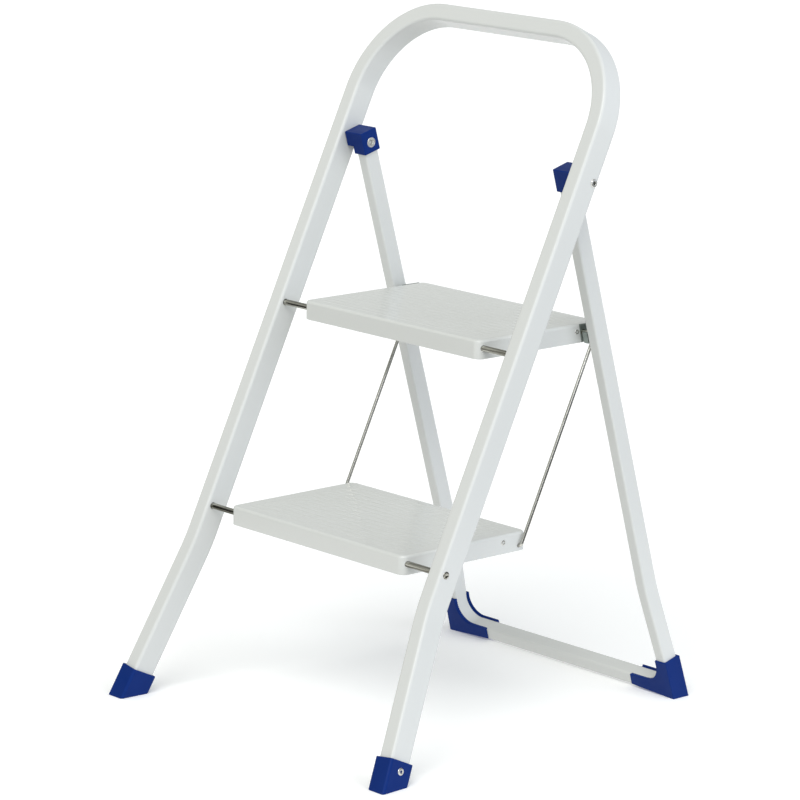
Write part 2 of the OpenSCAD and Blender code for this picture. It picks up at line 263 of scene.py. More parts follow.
def cut_below(bm, point, normal):
    """Keeps what lies on the side of the plane that the normal points to, and closes the cut."""
    geom = bm.verts[:] + bm.edges[:] + bm.faces[:]
    bmesh.ops.bisect_plane(bm, geom=geom, plane_co=point, plane_no=normal, clear_inner=True, dist=1e-5)
    rim = [e for e in bm.edges if e.is_boundary]
    bmesh.ops.holes_fill(bm, edges=rim, sides=0)
    tidy(bm)


def mesh_from(bm, place):
    """The mesh in the row frame; bm is freed."""
    bm.transform(place)
    bmesh.ops.recalc_face_normals(bm, faces=bm.faces)
    mesh = bpy.data.meshes.new("mesh")
    bm.to_mesh(mesh)
    bm.free()
    return mesh


def add_object(name, mesh):
    obj = bpy.data.objects.new(name, mesh)
    bpy.context.scene.collection.objects.link(obj)
    return obj


def cut(obj, cutters):
    """Takes the cutters' shapes out of obj for good."""
    for cutter in cutters:
        m = obj.modifiers.new("cut", "BOOLEAN")
        m.operation, m.solver, m.object = "DIFFERENCE", "EXACT", cutter
    bpy.context.view_layer.update()
    graph = bpy.context.evaluated_depsgraph_get()
    result = bpy.data.meshes.new_from_object(obj.evaluated_get(graph))
    obj.modifiers.clear()
    obj.data = result
    bm = bmesh.new()
    bm.from_mesh(result)
    bmesh.ops.remove_doubles(bm, verts=bm.verts, dist=1e-6)
    bmesh.ops.dissolve_degenerate(bm, edges=bm.edges, dist=1e-7)
    bm.to_mesh(result)
    bm.free()
    for cutter in cutters:
        bpy.data.objects.remove(cutter)


def rod_cutter(place, y, z, radius, x0, x1):
    """A plain round cutter along X."""
    bm = bmesh.new()
    lathe(bm, [(x0, radius), (x1, radius)], (0.0, y, z))
    return add_object("cutter", mesh_from(bm, place))


def finish_piece(obj, body, material, nodes, sharp_deg=40):
    """Shading, finish, body and the CAD nodes that the piece stands for."""
    mesh = obj.data
    for face in mesh.polygons:
        face.use_smooth = True
    mesh.set_sharp_from_angle(angle=math.radians(sharp_deg))
    mesh.materials.clear()
    mesh.materials.append(material)
    weighted = obj.modifiers.new("even_normals", "WEIGHTED_NORMAL")
    weighted.keep_sharp = True
    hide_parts(*nodes)
    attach(obj, body)


def piece(name, bm, place, body, slot, nodes, cutters=()):
    """A finished piece from a mesh in a local frame, with the cutters' shapes taken out."""
    obj = add_object(name, mesh_from(bm, place))
    if cutters:
        cut(obj, cutters)
    finish_piece(obj, body, MATERIALS[slot](), nodes)


def sides():
    """(name ending, mirror matrix) for the right and the left side."""
    return (("right", Matrix.Identity(4)), ("left", MIRROR))


# ---------------------------------------------------------------- materials

class Nodes:
    """Short ways to add nodes to a tree."""

    def __init__(self, tree):
        self.tree = tree

    def add(self, kind, **settings):
        node = self.tree.nodes.new(kind)
        for key, value in settings.items():
            setattr(node, key, value)
        return node

    def link(self, output, target):
        self.tree.links.new(output, target)

    def spread(self, value, low, high, start=0.3, end=0.7, kind="LINEAR"):
        """The value stretched from start..end to low..high."""
        node = self.add("ShaderNodeMapRange", interpolation_type=kind)
        for key, number in (("From Min", start), ("From Max", end), ("To Min", low), ("To Max", high)):
            node.inputs[key].default_value = number
        self.link(value, node.inputs["Value"])
        return node.outputs["Result"]

    def mix(self, factor, a, b):
        """A colour between a and b, each a colour or another node's output."""
        node = self.add("ShaderNodeMix", data_type="RGBA")
        self.link(factor, node.inputs["Factor"])
        for key, colour in (("A", a), ("B", b)):
            socket = next(s for s in node.inputs if s.name == key and s.type == "RGBA")
            if isinstance(colour, tuple):
                socket.default_value = (*colour, 1.0)
            else:
                self.link(colour, socket)
        return next(s for s in node.outputs if s.type == "RGBA")


class Shader(Nodes):
    """A material with one Principled shader."""

    def __init__(self, name):
        self.material = bpy.data.materials.new(name)
        self.material.use_nodes = True
        super().__init__(self.material.node_tree)
        self.bsdf = self.tree.nodes["Principled BSDF"]
        self.coords = self.add("ShaderNodeTexCoord").outputs["Object"]

    def fixed(self, **values):
        """Sets the shader's own sockets; an underscore stands for a space."""
        for key, value in values.items():
            self.bsdf.inputs[key.replace("_", " ")].default_value = value

    def stretched(self, scale, turn=(0.0, 0.0, 0.0)):
        """The coordinates turned, then scaled."""
        vector = self.coords
        for key, value in (("Rotation", turn), ("Scale", scale)):
            mapping = self.add("ShaderNodeMapping")
            mapping.inputs[key].default_value = value
            self.link(vector, mapping.inputs["Vector"])
            vector = mapping.outputs["Vector"]
        return vector

    def noise(self, scale, detail=3.0, roughness=0.5, vector=None):
        node = self.add("ShaderNodeTexNoise")
        node.inputs["Scale"].default_value = scale
        node.inputs["Detail"].default_value = detail
        node.inputs["Roughness"].default_value = roughness
        self.link(vector or self.coords, node.inputs["Vector"])
        return node.outputs["Fac"]

    def plus(self, a, b, share):
        """a + b * share"""
        node = self.add("ShaderNodeMath", operation="MULTIPLY_ADD")
        self.link(b, node.inputs[0])
        node.inputs[1].default_value = share
        self.link(a, node.inputs[2])
        return node.outputs["Value"]

    def edges(self, share, start=0.51, end=0.58):
        """The share on outward edges and corners, and 0 elsewhere: where a finish wears first, and where a
        painted highlight lightens bright edges.
        """
        return self.spread(self.add("ShaderNodeNewGeometry").outputs["Pointiness"], 0.0, share, start, end)

    def bump(self, height, distance, strength):
        node = self.add("ShaderNodeBump")
        node.inputs["Distance"].default_value = distance
        node.inputs["Strength"].default_value = strength
        self.link(height, node.inputs["Height"])
        self.link(node.outputs["Normal"], self.bsdf.inputs["Normal"])


def once(make):
    """Each material is made once, on first use."""
    made = []

    def get():
        if not made:
            made.append(make())
        return made[0]

    return get


def powder_coat(name, tone, warm, glossy, dull):
    """White powder coat: orange peel, faint cloudiness and a few darker specks."""
    s = Shader(name)
    clouds = s.noise(6.0, 2.0)
    specks = s.spread(s.noise(1900.0, 2.0), 0.0, 0.35, 0.62, 0.74)
    colour = s.mix(clouds, tone, warm)
    colour = s.mix(specks, colour, tuple(c * 0.86 for c in tone))
    s.link(colour, s.bsdf.inputs["Base Color"])
    s.link(s.spread(s.noise(14.0, 2.0), glossy, dull, 0.0, 1.0), s.bsdf.inputs["Roughness"])
    s.fixed(IOR=1.5, Specular_IOR_Level=0.4, Coat_Weight=0.1, Coat_Roughness=0.14)
    peel = s.plus(s.noise(420.0, 1.0, 0.4), s.noise(1300.0, 1.0), 0.12)
    s.bump(peel, 0.00002, 0.35)
    return s.material


@once
def frame_paint():
    return powder_coat("frame_paint", (0.650, 0.660, 0.648), (0.644, 0.655, 0.638), 0.25, 0.28)


@once
def step_paint():
    return powder_coat("step_paint", (0.645, 0.655, 0.640), (0.639, 0.650, 0.630), 0.14, 0.18)


@once
def blue_plastic():
    """Moulded plastic: fine spark-eroded grain, faint flow marks and paler rubbed edges."""
    s = Shader("blue_plastic")
    flow = s.spread(s.noise(26.0, 4.0, 0.6, s.stretched((1.0, 1.0, 0.35))), 0.0, 1.0)
    colour = s.mix(flow, (0.0014, 0.0165, 0.128), (0.0022, 0.0205, 0.146))
    dust = s.spread(s.noise(600.0, 4.0, 0.7), 0.0, 0.10, 0.5, 0.75)
    colour = s.mix(dust, colour, (0.012, 0.050, 0.25))
    colour = s.mix(s.edges(0.5), colour, (0.008, 0.038, 0.22))
    s.link(colour, s.bsdf.inputs["Base Color"])
    s.link(s.spread(s.noise(75.0, 5.0), 0.34, 0.50), s.bsdf.inputs["Roughness"])
    s.fixed(IOR=1.46, Specular_IOR_Level=0.11)
    s.bump(s.plus(s.noise(1500.0, 3.0, 0.6), s.noise(90.0), 0.6), 0.00005, 0.6)
    return s.material


def drawn_steel(name, dark, light, scale, turn=(0.0, 0.0, 0.0)):
    """Bright drawn rod: lengthwise bands, as die lines in roughness and relief, and in tone as painted
    reflections, dark and light.
    """
    s = Shader(name)
    die_lines_and_reflection_bands = s.noise(1.0, 4.0, 0.65, s.stretched(scale, turn))
    stains = s.noise(55.0, 4.0, 0.6)
    # painted reflection: lengthwise bands swing the colour between the dark and the light tone
    colour = s.mix(s.spread(die_lines_and_reflection_bands, 0.0, 1.0, 0.38, 0.64), dark, light)
    colour = s.mix(s.spread(stains, 0.0, 0.45, 0.55, 0.75), colour, tuple(c * 0.7 for c in dark))
    s.link(colour, s.bsdf.inputs["Base Color"])
    s.link(s.plus(s.spread(die_lines_and_reflection_bands, 0.07, 0.15), stains, 0.05), s.bsdf.inputs["Roughness"])
    s.fixed(Metallic=1.0)
    s.bump(die_lines_and_reflection_bands, 0.00003, 0.5)
    return s.material


@once
def bright_rod():
    # the dark and light tones are painted reflection, for the rod's lengthwise bands
    return drawn_steel("bright_rod", (0.10, 0.095, 0.072), (0.66, 0.65, 0.59), (9.0, 420.0, 420.0))


@once
def bright_wire():
    along_leg = (FRONT_LEAN, 0.0, 0.0)
    # the dark and light tones are painted reflection, for the wire's lengthwise bands
    dark, light = (0.34, 0.33, 0.30), (0.76, 0.75, 0.70)
    return drawn_steel("bright_wire", dark, light, (380.0, 380.0, 2.0), along_leg)


@once
def rivet_steel():
    """Plated steel heads: bright, with small pits, and a painted highlight that lightens the raised rims
    and edges.
    """
    s = Shader("rivet_steel")
    pits = s.noise(1300.0, 4.0, 0.6)
    colour = s.mix(s.spread(pits, 0.0, 1.0, 0.3, 0.6), (0.40, 0.40, 0.36), (0.72, 0.72, 0.69))
    # painted highlight: raised rims and edges lightened
    colour = s.mix(s.edges(0.7, 0.5, 0.6), colour, (0.90, 0.89, 0.86))
    s.link(colour, s.bsdf.inputs["Base Color"])
    s.link(s.spread(pits, 0.20, 0.36), s.bsdf.inputs["Roughness"])
    s.fixed(Metallic=1.0)
    s.bump(pits, 0.00004, 0.6)
    return s.material


@once
def zinc_sheet():
    """Dull zinc plate: small spangles in slightly different greens and greys, every tone darkened with
    painted shade, and edges lightened with painted glints.
    """
    s = Shader("zinc_sheet")
    spangle = s.add("ShaderNodeTexVoronoi")
    spangle.inputs["Scale"].default_value = 420.0
    s.link(s.coords, spangle.inputs["Vector"])
    tone = s.spread(s.noise(160.0, 4.0, 0.6), 0.0, 1.0)
    # painted shade: the whole palette is far darker than bare zinc
    colour = s.mix(tone, (0.050, 0.080, 0.076), (0.105, 0.143, 0.135))
    colour = s.mix(s.spread(spangle.outputs["Distance"], 0.0, 0.4, 0.1, 0.7), colour, (0.15, 0.19, 0.178))
    # painted glints: edges lightened
    colour = s.mix(s.edges(0.7), colour, (0.36, 0.40, 0.37))
    s.link(colour, s.bsdf.inputs["Base Color"])
    s.link(s.spread(tone, 0.38, 0.52, 0.0, 1.0), s.bsdf.inputs["Roughness"])
    s.fixed(Metallic=0.85)
    s.bump(s.plus(tone, spangle.outputs["Distance"], 0.5), 0.00004, 0.5)
    return s.material


MATERIALS = {
    "frame_paint": frame_paint,
    "step_paint": step_paint,
    "blue_plastic": blue_plastic,
    "bright_rod": bright_rod,
    "rivet_steel": rivet_steel,
    "zinc_sheet": zinc_sheet,
}


# ---------------------------------------------------------------- tubes

SPLAY_TOP = SPLAY_AT + SPLAY_BEND * math.tan(SPLAY / 2)
SPLAY_LOW_S = SPLAY_TOP - SPLAY_BEND * math.sin(SPLAY)
FLARE_TOP = FLARE_AT + FLARE_BEND * math.tan(FLARE / 2)
BAR_BEND_S = BAR_S + BAR_BEND
BAR_BEND_X = REAR_X + (FLARE_AT - BAR_BEND_S) * math.tan(FLARE) - BAR_BEND / math.cos(FLARE)
FLARE_RUN = (
    FLARE_TOP - FLARE_BEND * math.sin(FLARE) - BAR_BEND_S - BAR_BEND * math.sin(FLARE)
) / math.cos(FLARE)


def front_path():
    """From the middle of the handrail down the right leg to the foot."""
    return walk((0.0, FRONT_LENGTH), math.pi / 2, [
        FRONT_X - HANDRAIL_BEND,
        (HANDRAIL_BEND, math.pi / 2),
        FRONT_LENGTH - HANDRAIL_BEND - SPLAY_TOP,
        (SPLAY_BEND, -SPLAY),
        (SPLAY_LOW_S - FRONT_END_S) / math.cos(SPLAY),
    ])


def rear_path(past_end=0.0):
    """From the middle of the floor bar up the right leg to its end above the pivot."""
    return walk((0.0, BAR_S), math.pi / 2, [
        BAR_BEND_X,
        (BAR_BEND, -math.pi / 2 - FLARE),
        FLARE_RUN,
        (FLARE_BEND, FLARE),
        REAR_PIVOT_S + REAR_PAST_PIVOT - FLARE_TOP + past_end,
    ])


def bent_tube(stations, w, d, corner):
    """An open tube with its wall: outside, bore, and the rims between them."""
    outside = rings(stations, tube_outline(w, d, corner))
    bore = rings(stations, tube_outline(w - 2 * TUBE_WALL, d - 2 * TUBE_WALL, corner - TUBE_WALL))
    bm = bmesh.new()
    loft(bm, outside + list(reversed(bore)), closed=True)
    return bm


def tube_dummy(place, stations, w, d, corner):
    """The solid outside of a tube with the fitting gap, to cut a socket with."""
    bm = bmesh.new()
    loft(bm, rings(stations, rounded_rect(w + 2 * GAP, d + 2 * GAP, corner + GAP, 8)))
    return add_object("cutter", mesh_from(bm, place))


def front_frame():
    """The inverted U, with the axles' holes and the pivots' through both walls of each leg."""
    bm = bent_tube(both_halves(front_path()), FRONT_W, FRONT_D, FRONT_CORNER)
    inner, outer = FRONT_X - FRONT_W / 2, FRONT_X + FRONT_W / 2
    hole, pivot_hole = AXLE_R + 0.45, PIVOT_R + 0.1
    cutters = [rod_cutter(FRONT, AXLE_DEPTH, LOWER_S, hole, -outer - PAST, outer + PAST)]
    for sign in (-1, 1):
        ends = sorted((sign * (inner - PAST), sign * (inner + PAST)))
        cutters.append(rod_cutter(FRONT, AXLE_DEPTH, UPPER_S, hole, *ends))
        ends = sorted((sign * (inner - PAST), sign * (outer + PAST)))
        cutters.append(rod_cutter(FRONT, PIVOT_DEPTH, PIVOT_S, pivot_hole, *ends))
    piece("front_frame_tube", bm, FRONT, "front_frame_body", "frame_paint", ["front_frame"], cutters)


def rear_frame():
    """The U with its bar at the floor; the boots cover its bends and the caps its ends."""
    bm = bent_tube(both_halves(rear_path()), REAR_W, REAR_D, REAR_CORNER)
    piece("rear_frame_tube", bm, REAR, "rear_frame_body", "frame_paint", ["rear_frame"])


# ---------------------------------------------------------------- plastic fittings

def leg_end():
    """The middle of the right front leg's end, and the directions inward across it and down it."""
    (x, z), (nx, nz) = front_path()[-1]
    return Vector((x, 0, z)), Vector((nx, 0, nz)), Vector((-nz, 0, nx))


def leg_ring(outline, up):
    """The outline square across the leg, this far up from the leg's end."""
    middle, inward, down = leg_end()
    return [middle + inward * u + Vector((0, v, 0)) - down * up for u, v in outline]


def sole_ring(outline, height):
    """The outline at the leg's end, each point moved along the leg to a height above the floor."""
    floor_up = Vector((0, -math.sin(FRONT_LEAN), math.cos(FRONT_LEAN)))
    down = leg_end()[2]
    return [p + down * ((height - p.dot(floor_up)) / down.dot(floor_up)) for p in leg_ring(outline, 0.0)]


def front_foot(name, mirror):
    """A cap drawn over the leg's end: rounded rim and toe, closed sole with grooves across."""
    groove_long, groove_w, groove_deep, groove_pitch = 60.0, 1.6, 0.6, 6.4
    groove_y = FRONT_FOOT_Y - 1.0
    w, d = FRONT_W + 2 * FOOT_WALL, FRONT_D + 2 * FOOT_WALL
    rim_up = (FOOT_TOP - FRONT_END_S) / math.cos(SPLAY)
    socket = FOOT_WALL - GAP
    sole = ((1.3, 0.0), (0.45, 0.18), (0.1, 0.6), (0.0, 1.3))
    outer_rim = ((0.0, -1.0), (0.12, -0.45), (0.45, -0.1), (0.9, 0.0))
    inner_rim = ((socket - 0.4, 0.0), (socket - 0.1, -0.15), (socket, -0.5))

    def shape(inset):
        return rounded_rect(w - 2 * inset, d - 2 * inset, max(0.6, FRONT_CORNER - inset), 6)

    loops = [sole_ring(shape(inset), height) for inset, height in sole]
    loops += [leg_ring(shape(inset), rim_up + up) for inset, up in outer_rim + inner_rim]
    loops.append(leg_ring(shape(socket), -GAP))
    bm = bmesh.new()
    loft(bm, loops)
    grooves = []
    for k in range(-2, 3):
        groove = bmesh.new()
        size = Matrix.Diagonal((groove_long, groove_w, 2 * groove_deep, 1.0))
        bmesh.ops.create_cube(groove, size=1.0, matrix=size)
        middle = (leg_end()[0].x, groove_y + k * groove_pitch, 0.0)
        place = mirror @ TO_METRES @ Matrix.Translation(middle)
        grooves.append(add_object("cutter", mesh_from(groove, place)))
    piece(f"front_foot_cap_{name}", bm, mirror @ FRONT, "front_frame_body", "blue_plastic",
          [f"front_foot_{name}"], grooves)


def hollow_head(r, height, hole_r, hole_depth, shank_r):
    """Profile of a tubular rivet's rolled head on a face at 0, with its outward side towards +X."""
    return [
        (0.0, shank_r),
        (0.0, r * 0.97),
        (height * 0.18, r),
        (height * 0.5, r * 0.97),
        (height * 0.82, r * 0.86),
        (height * 0.97, r * 0.72),
        (height, r * 0.60),
        (height * 0.95, hole_r * 1.22),
        (height * 0.7, hole_r * 1.04),
        (height * 0.3, hole_r),
        (-hole_depth, hole_r * 0.92),
        (-hole_depth - 0.3, hole_r * 0.35),
    ]


def foot_rivets():
    """A hollow rivet square to each foot cap's outer wall."""
    middle, inward, down = leg_end()
    centre = middle - down * ((FOOT_RIVET_S - FRONT_END_S) / math.cos(SPLAY))
    face = centre - inward * (FRONT_W / 2 + FOOT_WALL)
    turn = Matrix.Translation(face) @ (-inward).to_track_quat("X", "Z").to_matrix().to_4x4()
    shank = -FOOT_WALL - 3.5
    inner_end = [(shank, 1.5), (shank, 1.8), (shank + 0.3, 2.0)]
    for name, mirror in sides():
        bm = bmesh.new()
        lathe(bm, inner_end + hollow_head(r=4.25, height=1.15, hole_r=1.6, hole_depth=3.0, shank_r=2.0))
        piece(f"foot_rivet_head_{name}", bm, mirror @ FRONT @ turn, "front_frame_body", "rivet_steel",
              [f"foot_rivet_{name}"])


def boot_outline(inner):
    """Outline of a rear boot in the rear frame's plane; inner is how far it stands past the tube."""
    low, out_high, out_low = -12.0, 3.4, 6.6
    half = REAR_W / 2
    leg_x = REAR_X + (FLARE_AT - BOOT_TOP_S) * math.tan(FLARE)
    bend_r = BAR_BEND - half - inner
    corner = arc_points((BAR_BEND_X, BAR_BEND_S), bend_r, -math.pi / 2, FLARE, 14)
    return [
        (leg_x + half + out_high, BOOT_TOP_S),
        (leg_x + half + out_low, low),
        (BOOT_TIP_X, low),
        (BOOT_TIP_X, BAR_S + half + inner),
        *corner,
        (leg_x - (half + inner) / math.cos(FLARE), BOOT_TOP_S),
    ]


def rear_boot(name, mirror):
    """A moulded shoe round the rear tube's corner, with a flange behind the bend."""
    deep = REAR_D / 2 + BOOT_WALL
    flange = 1.5
    stages = ((0.0, -deep), (0.0, REAR_D / 2), (flange, REAR_D / 2), (flange, deep))
    bm = bmesh.new()
    loft(bm, [[Vector((x, t, z)) for x, z in boot_outline(inner)] for inner, t in stages])
    tidy(bm)
    to_local = Matrix.Rotation(-REAR_LEAN, 3, "X")
    rise = Vector((math.sin(BOOT_RISE), 0, math.cos(BOOT_RISE)))
    cut_below(bm, Vector((0, 0, 0)), to_local @ Vector((0, 0, 1)))
    cut_below(bm, Vector((BOOT_BARE_X, 0, 0)), to_local @ rise)
    soften(bm, 0.8)
    socket = tube_dummy(mirror @ REAR, rear_path(), REAR_W, REAR_D, REAR_CORNER)
    piece(f"rear_boot_shoe_{name}", bm, mirror @ REAR, "rear_frame_body", "blue_plastic",
          [f"rear_boot_{name}"], [socket])


def pivot_cap(name, mirror):
    """The cap on the rear leg's top, with a boss that spaces it from the front leg."""
    in_x = REAR_X - REAR_W / 2 - CAP_SIDE
    out_x = REAR_X + REAR_W / 2 + CAP_SIDE
    boss_gap = 0.3
    boss_x = FRONT_X - FRONT_W / 2 - boss_gap
    low, boss_low, high = REAR_PIVOT_S - 12.5, REAR_PIVOT_S - 3.5, REAR_PIVOT_S + 14.5
    outline = [(in_x, low), (out_x, low), (out_x, boss_low)]
    outline += [(boss_x, boss_low), (boss_x, high), (in_x, high)]
    bm = bmesh.new()
    prism(bm, outline, -CAP_DEEP / 2, CAP_DEEP / 2)
    soften(bm, 1.1, 4)
    socket = tube_dummy(mirror @ REAR, rear_path(GAP), REAR_W, REAR_D, REAR_CORNER)
    bore_from, bore_to = 140.0, 195.0
    bore = rod_cutter(mirror @ TO_METRES, PIVOT_Y, PIVOT_Z, PIVOT_R + GAP, bore_from, bore_to)
    piece(f"pivot_cap_moulding_{name}", bm, mirror @ REAR, "rear_frame_body", "blue_plastic",
          [f"pivot_cap_{name}"], [socket, bore])


def pivot_rivet(name, mirror):
    """Long tubular rivet: a rolled head on the front leg's outer face and a wide one inside the cap."""
    cap_face = REAR_X - REAR_W / 2 - CAP_SIDE
    outer = FRONT_X + FRONT_W / 2
    head = hollow_head(r=4.75, height=1.5, hole_r=2.0, hole_depth=4.0, shank_r=PIVOT_R)
    tail = [(0.0, PIVOT_R), (0.0, 5.8), (0.3, 6.0), (0.8, 5.95), (1.2, 5.6), (1.35, 5.1), (1.25, 4.5),
            (0.9, 4.0), (0.5, 3.5), (0.2, 2.9), (-0.5, 2.45), (-5.0, 2.3), (-5.2, 0.8)]
    profile = [(cap_face - GAP - x, r) for x, r in reversed(tail)]
    profile += [(outer + GAP + x, r) for x, r in head]
    bm = bmesh.new()
    lathe(bm, profile, (0.0, PIVOT_DEPTH, PIVOT_S))
    piece(f"pivot_rivet_tube_{name}", bm, mirror @ FRONT, "front_frame_body", "rivet_steel",
          [f"pivot_rivet_{name}"])


# ---------------------------------------------------------------- steps

STEP_FLAT, STEP_LOW = STEP_TOP - RIB_H, STEP_TOP - STEP_H


def wall_rings(mid_y, depth, hem_side):
    """Loops of a side wall at a depth in the sheet, from the rolled hem over the rounded top edge."""
    bend = EDGE_R - depth

    def loop(inset, z):
        outline = rounded_rect(STEP_W - 2 * inset, STEP_D - 2 * inset, STEP_CORNER - inset, 10)
        return [Vector((x, y + mid_y, z)) for x, y in outline]

    hem = ((0.35, 0.0), (0.1, 0.15), (0.0, 0.45))
    out = [loop(depth + hem_side * inset, STEP_LOW + up) for inset, up in hem]
    for i in range(9):
        a = math.pi / 2 * i / 8
        out.append(loop(depth + bend * (1 - math.cos(a)), STEP_FLAT - EDGE_R + bend * math.sin(a)))
    return out


def rib_height(x, y):
    """Height of the tread's ribs at a point, measured from the ribbed field's middle."""
    rib_half, run_out = 2.9, 5.0
    pitch = (STEP_D - 2 * BORDER) / (RIB_COUNT - 1)
    off = abs((y / pitch + 0.5) % 1.0 - 0.5) * pitch
    crest = 0.5 + 0.5 * math.cos(math.pi * min(1.0, off / rib_half))
    from_end = STEP_W / 2 - BORDER - abs(x)
    fade = min(1.0, max(0.0, from_end / run_out))
    return RIB_SHOWN * crest * fade * fade * (3 - 2 * fade)


def ribbed_field(bm, mid_y, z):
    """The pressed grid of ribs; returns its border as a loop of vertices."""
    past_rib = 3.2
    half_w, half_d = STEP_W / 2 - BORDER, STEP_D / 2 - BORDER + past_rib
    ends = [half_w - d for d in (0.0, 0.8, 1.8, 2.8, 3.8, 5.0)]
    xs = [-x for x in ends] + list(reversed(ends))
    rows = RIB_COUNT * 12
    ys = [-half_d + 2 * half_d * j / rows for j in range(rows + 1)]
    grid = [[bm.verts.new((x, mid_y + y, z + rib_height(x, y))) for x in xs] for y in ys]
    for lower, upper in zip(grid, grid[1:]):
        for i in range(len(xs) - 1):
            bm.faces.new((lower[i], lower[i + 1], upper[i + 1], upper[i]))
    border = grid[0][:-1] + [row[-1] for row in grid[:-1]]
    border += list(reversed(grid[-1][1:])) + [row[0] for row in reversed(grid[1:])]
    return border


def loop_edges(verts):
    """The edges between consecutive vertices of a closed loop."""
    following = verts[1:] + verts[:1]
    return [next(e for e in a.link_edges if e.other_vert(a) is b) for a, b in zip(verts, following)]


def tread_skin(bm, wall, mid_y, z):
    """A side wall and rounded edge, joined over the flat border to the ribbed field."""
    made = loft(bm, wall, caps=False)
    border = ribbed_field(bm, mid_y, z)
    bmesh.ops.bridge_loops(bm, edges=loop_edges(made[-1]) + loop_edges(border))
    return made[0]


def step_pan(name, place, body, node):
    """Pressed tread: ribbed top, rounded edges, side walls and a rolled hem, 1.2 mm thick."""
    mid_y = STEP_FRONT + STEP_D / 2
    bm = bmesh.new()
    outer_hem = tread_skin(bm, wall_rings(mid_y, 0.0, 1), mid_y, STEP_FLAT)
    inner_hem = tread_skin(bm, wall_rings(mid_y, SHEET, -1), mid_y, STEP_FLAT - SHEET)
    bmesh.ops.bridge_loops(bm, edges=loop_edges(outer_hem) + loop_edges(inner_hem))
    half = STEP_W / 2 + PAST
    axle_hole, wire_hole = AXLE_R + 0.35, WIRE_R + 0.3
    cutters = [
        rod_cutter(place, 0.0, 0.0, axle_hole, -half, half),
        rod_cutter(place, WIRE_BACK, -WIRE_DROP, wire_hole, -half, half),
    ]
    piece(f"{name}_tread", bm, place, body, "step_paint", [node], cutters)


def plate_rivets(name, place, body, node):
    """The two short rivets that hold a step's wire plates."""
    inner = STEP_W / 2 - SHEET - PLATE_T - 2 * GAP
    head = hollow_head(r=3.0, height=0.55, hole_r=1.3, hole_depth=1.2, shank_r=2.0)
    tail = hollow_head(r=3.5, height=1.4, hole_r=1.2, hole_depth=0.8, shank_r=2.0)
    profile = [(inner - x, r) for x, r in reversed(tail)]
    profile += [(STEP_W / 2 + GAP + x, r) for x, r in head]
    bm = bmesh.new()
    for sign in (1, -1):
        turned = [(sign * x, r) for x, r in profile]
        lathe(bm, turned, (0.0, PLATE_RIVET_BACK, PLATE_RIVET_UP))
    piece(f"{name}_plate_rivet_pair", bm, place, body, "rivet_steel", [node])


# ---------------------------------------------------------------- rods, wires and pins

def rod_profile(x0, x1, r, chamfer=0.6):
    """Profile of a plain rod with softened ends."""
    return [(x0, r - chamfer), (x0 + chamfer * 0.3, r - chamfer * 0.4), (x0 + chamfer, r),
            (x1 - chamfer, r), (x1 - chamfer * 0.3, r - chamfer * 0.4), (x1, r - chamfer)]


def upper_axle():
    """The rod through the upper step's front corners, which ends short of the legs' outer faces."""
    short = 5.0
    end = FRONT_X + FRONT_W / 2 - short
    bm = bmesh.new()
    lathe(bm, rod_profile(-end, end, AXLE_R), (0.0, AXLE_DEPTH, UPPER_S))
    piece("upper_axle_rod", bm, FRONT, "front_frame_body", "bright_rod", ["upper_axle"])


def lower_axle():
    """The rod that holds the front legs together, its ends peened over on the outer faces."""
    face = FRONT_X + FRONT_W / 2 + GAP
    peened = [(face, AXLE_R), (face, 4.2), (face + 0.25, 4.2), (face + 0.5, 4.0), (face + 0.68, 3.5),
              (face + 0.74, 2.6), (face + 0.60, 1.7), (face + 0.45, 0.6)]
    bm = bmesh.new()
    profile = [(-x, r) for x, r in reversed(peened)] + peened
    lathe(bm, profile, (0.0, AXLE_DEPTH, LOWER_S))
    piece("lower_axle_rod", bm, FRONT, "front_frame_body", "bright_rod", ["lower_axle"])


def tie_wire(name, mirror):
    """A wire bent in at both ends, swaged flat into two ears just under the upper bend."""
    foot = along_front(LOWER_Y + WIRE_BACK, LOWER_Z - WIRE_DROP, FRONT_FOOT_Y)
    quarter = math.pi / 2
    hook = WIRE_X - WIRE_BEND - WIRE_END_X
    ear_end, ear_edge, ear_taper, widen, near = 0.6, 1.2, 4.8, 1.1, 0.1
    plain = AXLE_SPACING - 2 * WIRE_BEND - ear_end - ear_edge - ear_taper
    stations = walk((WIRE_END_X, foot[0]), quarter, [
        hook, (WIRE_BEND, -quarter), plain, ear_end, ear_edge, ear_taper, (WIRE_BEND, -quarter), hook,
    ])
    top = foot[0] + AXLE_SPACING - WIRE_BEND
    circle = arc_points((0.0, 0.0), WIRE_R, 0.0, 2 * math.pi, 24)[:-1]
    loops = []
    for p, n in stations:
        ear = widen if ear_taper - near < top - p[1] < ear_taper + ear_edge + near else 0.0
        loops += rings([(p, n)], [(u * (1 - 0.6 * ear), v * (1 + ear)) for u, v in circle])
    tips = [rings([((p[0] - 0.4, p[1]), n)], [(u * 0.8, v * 0.8) for u, v in circle])[0]
            for p, n in (stations[0], stations[-1])]
    bm = bmesh.new()
    loft(bm, [tips[0], *loops, tips[1]])
    place = mirror @ FRONT @ Matrix.Translation((0, foot[1], 0))
    obj = add_object(f"tie_wire_rod_{name}", mesh_from(bm, place))
    finish_piece(obj, f"tie_wire_{name}_body", bright_wire(), [f"tie_wire_{name}"])


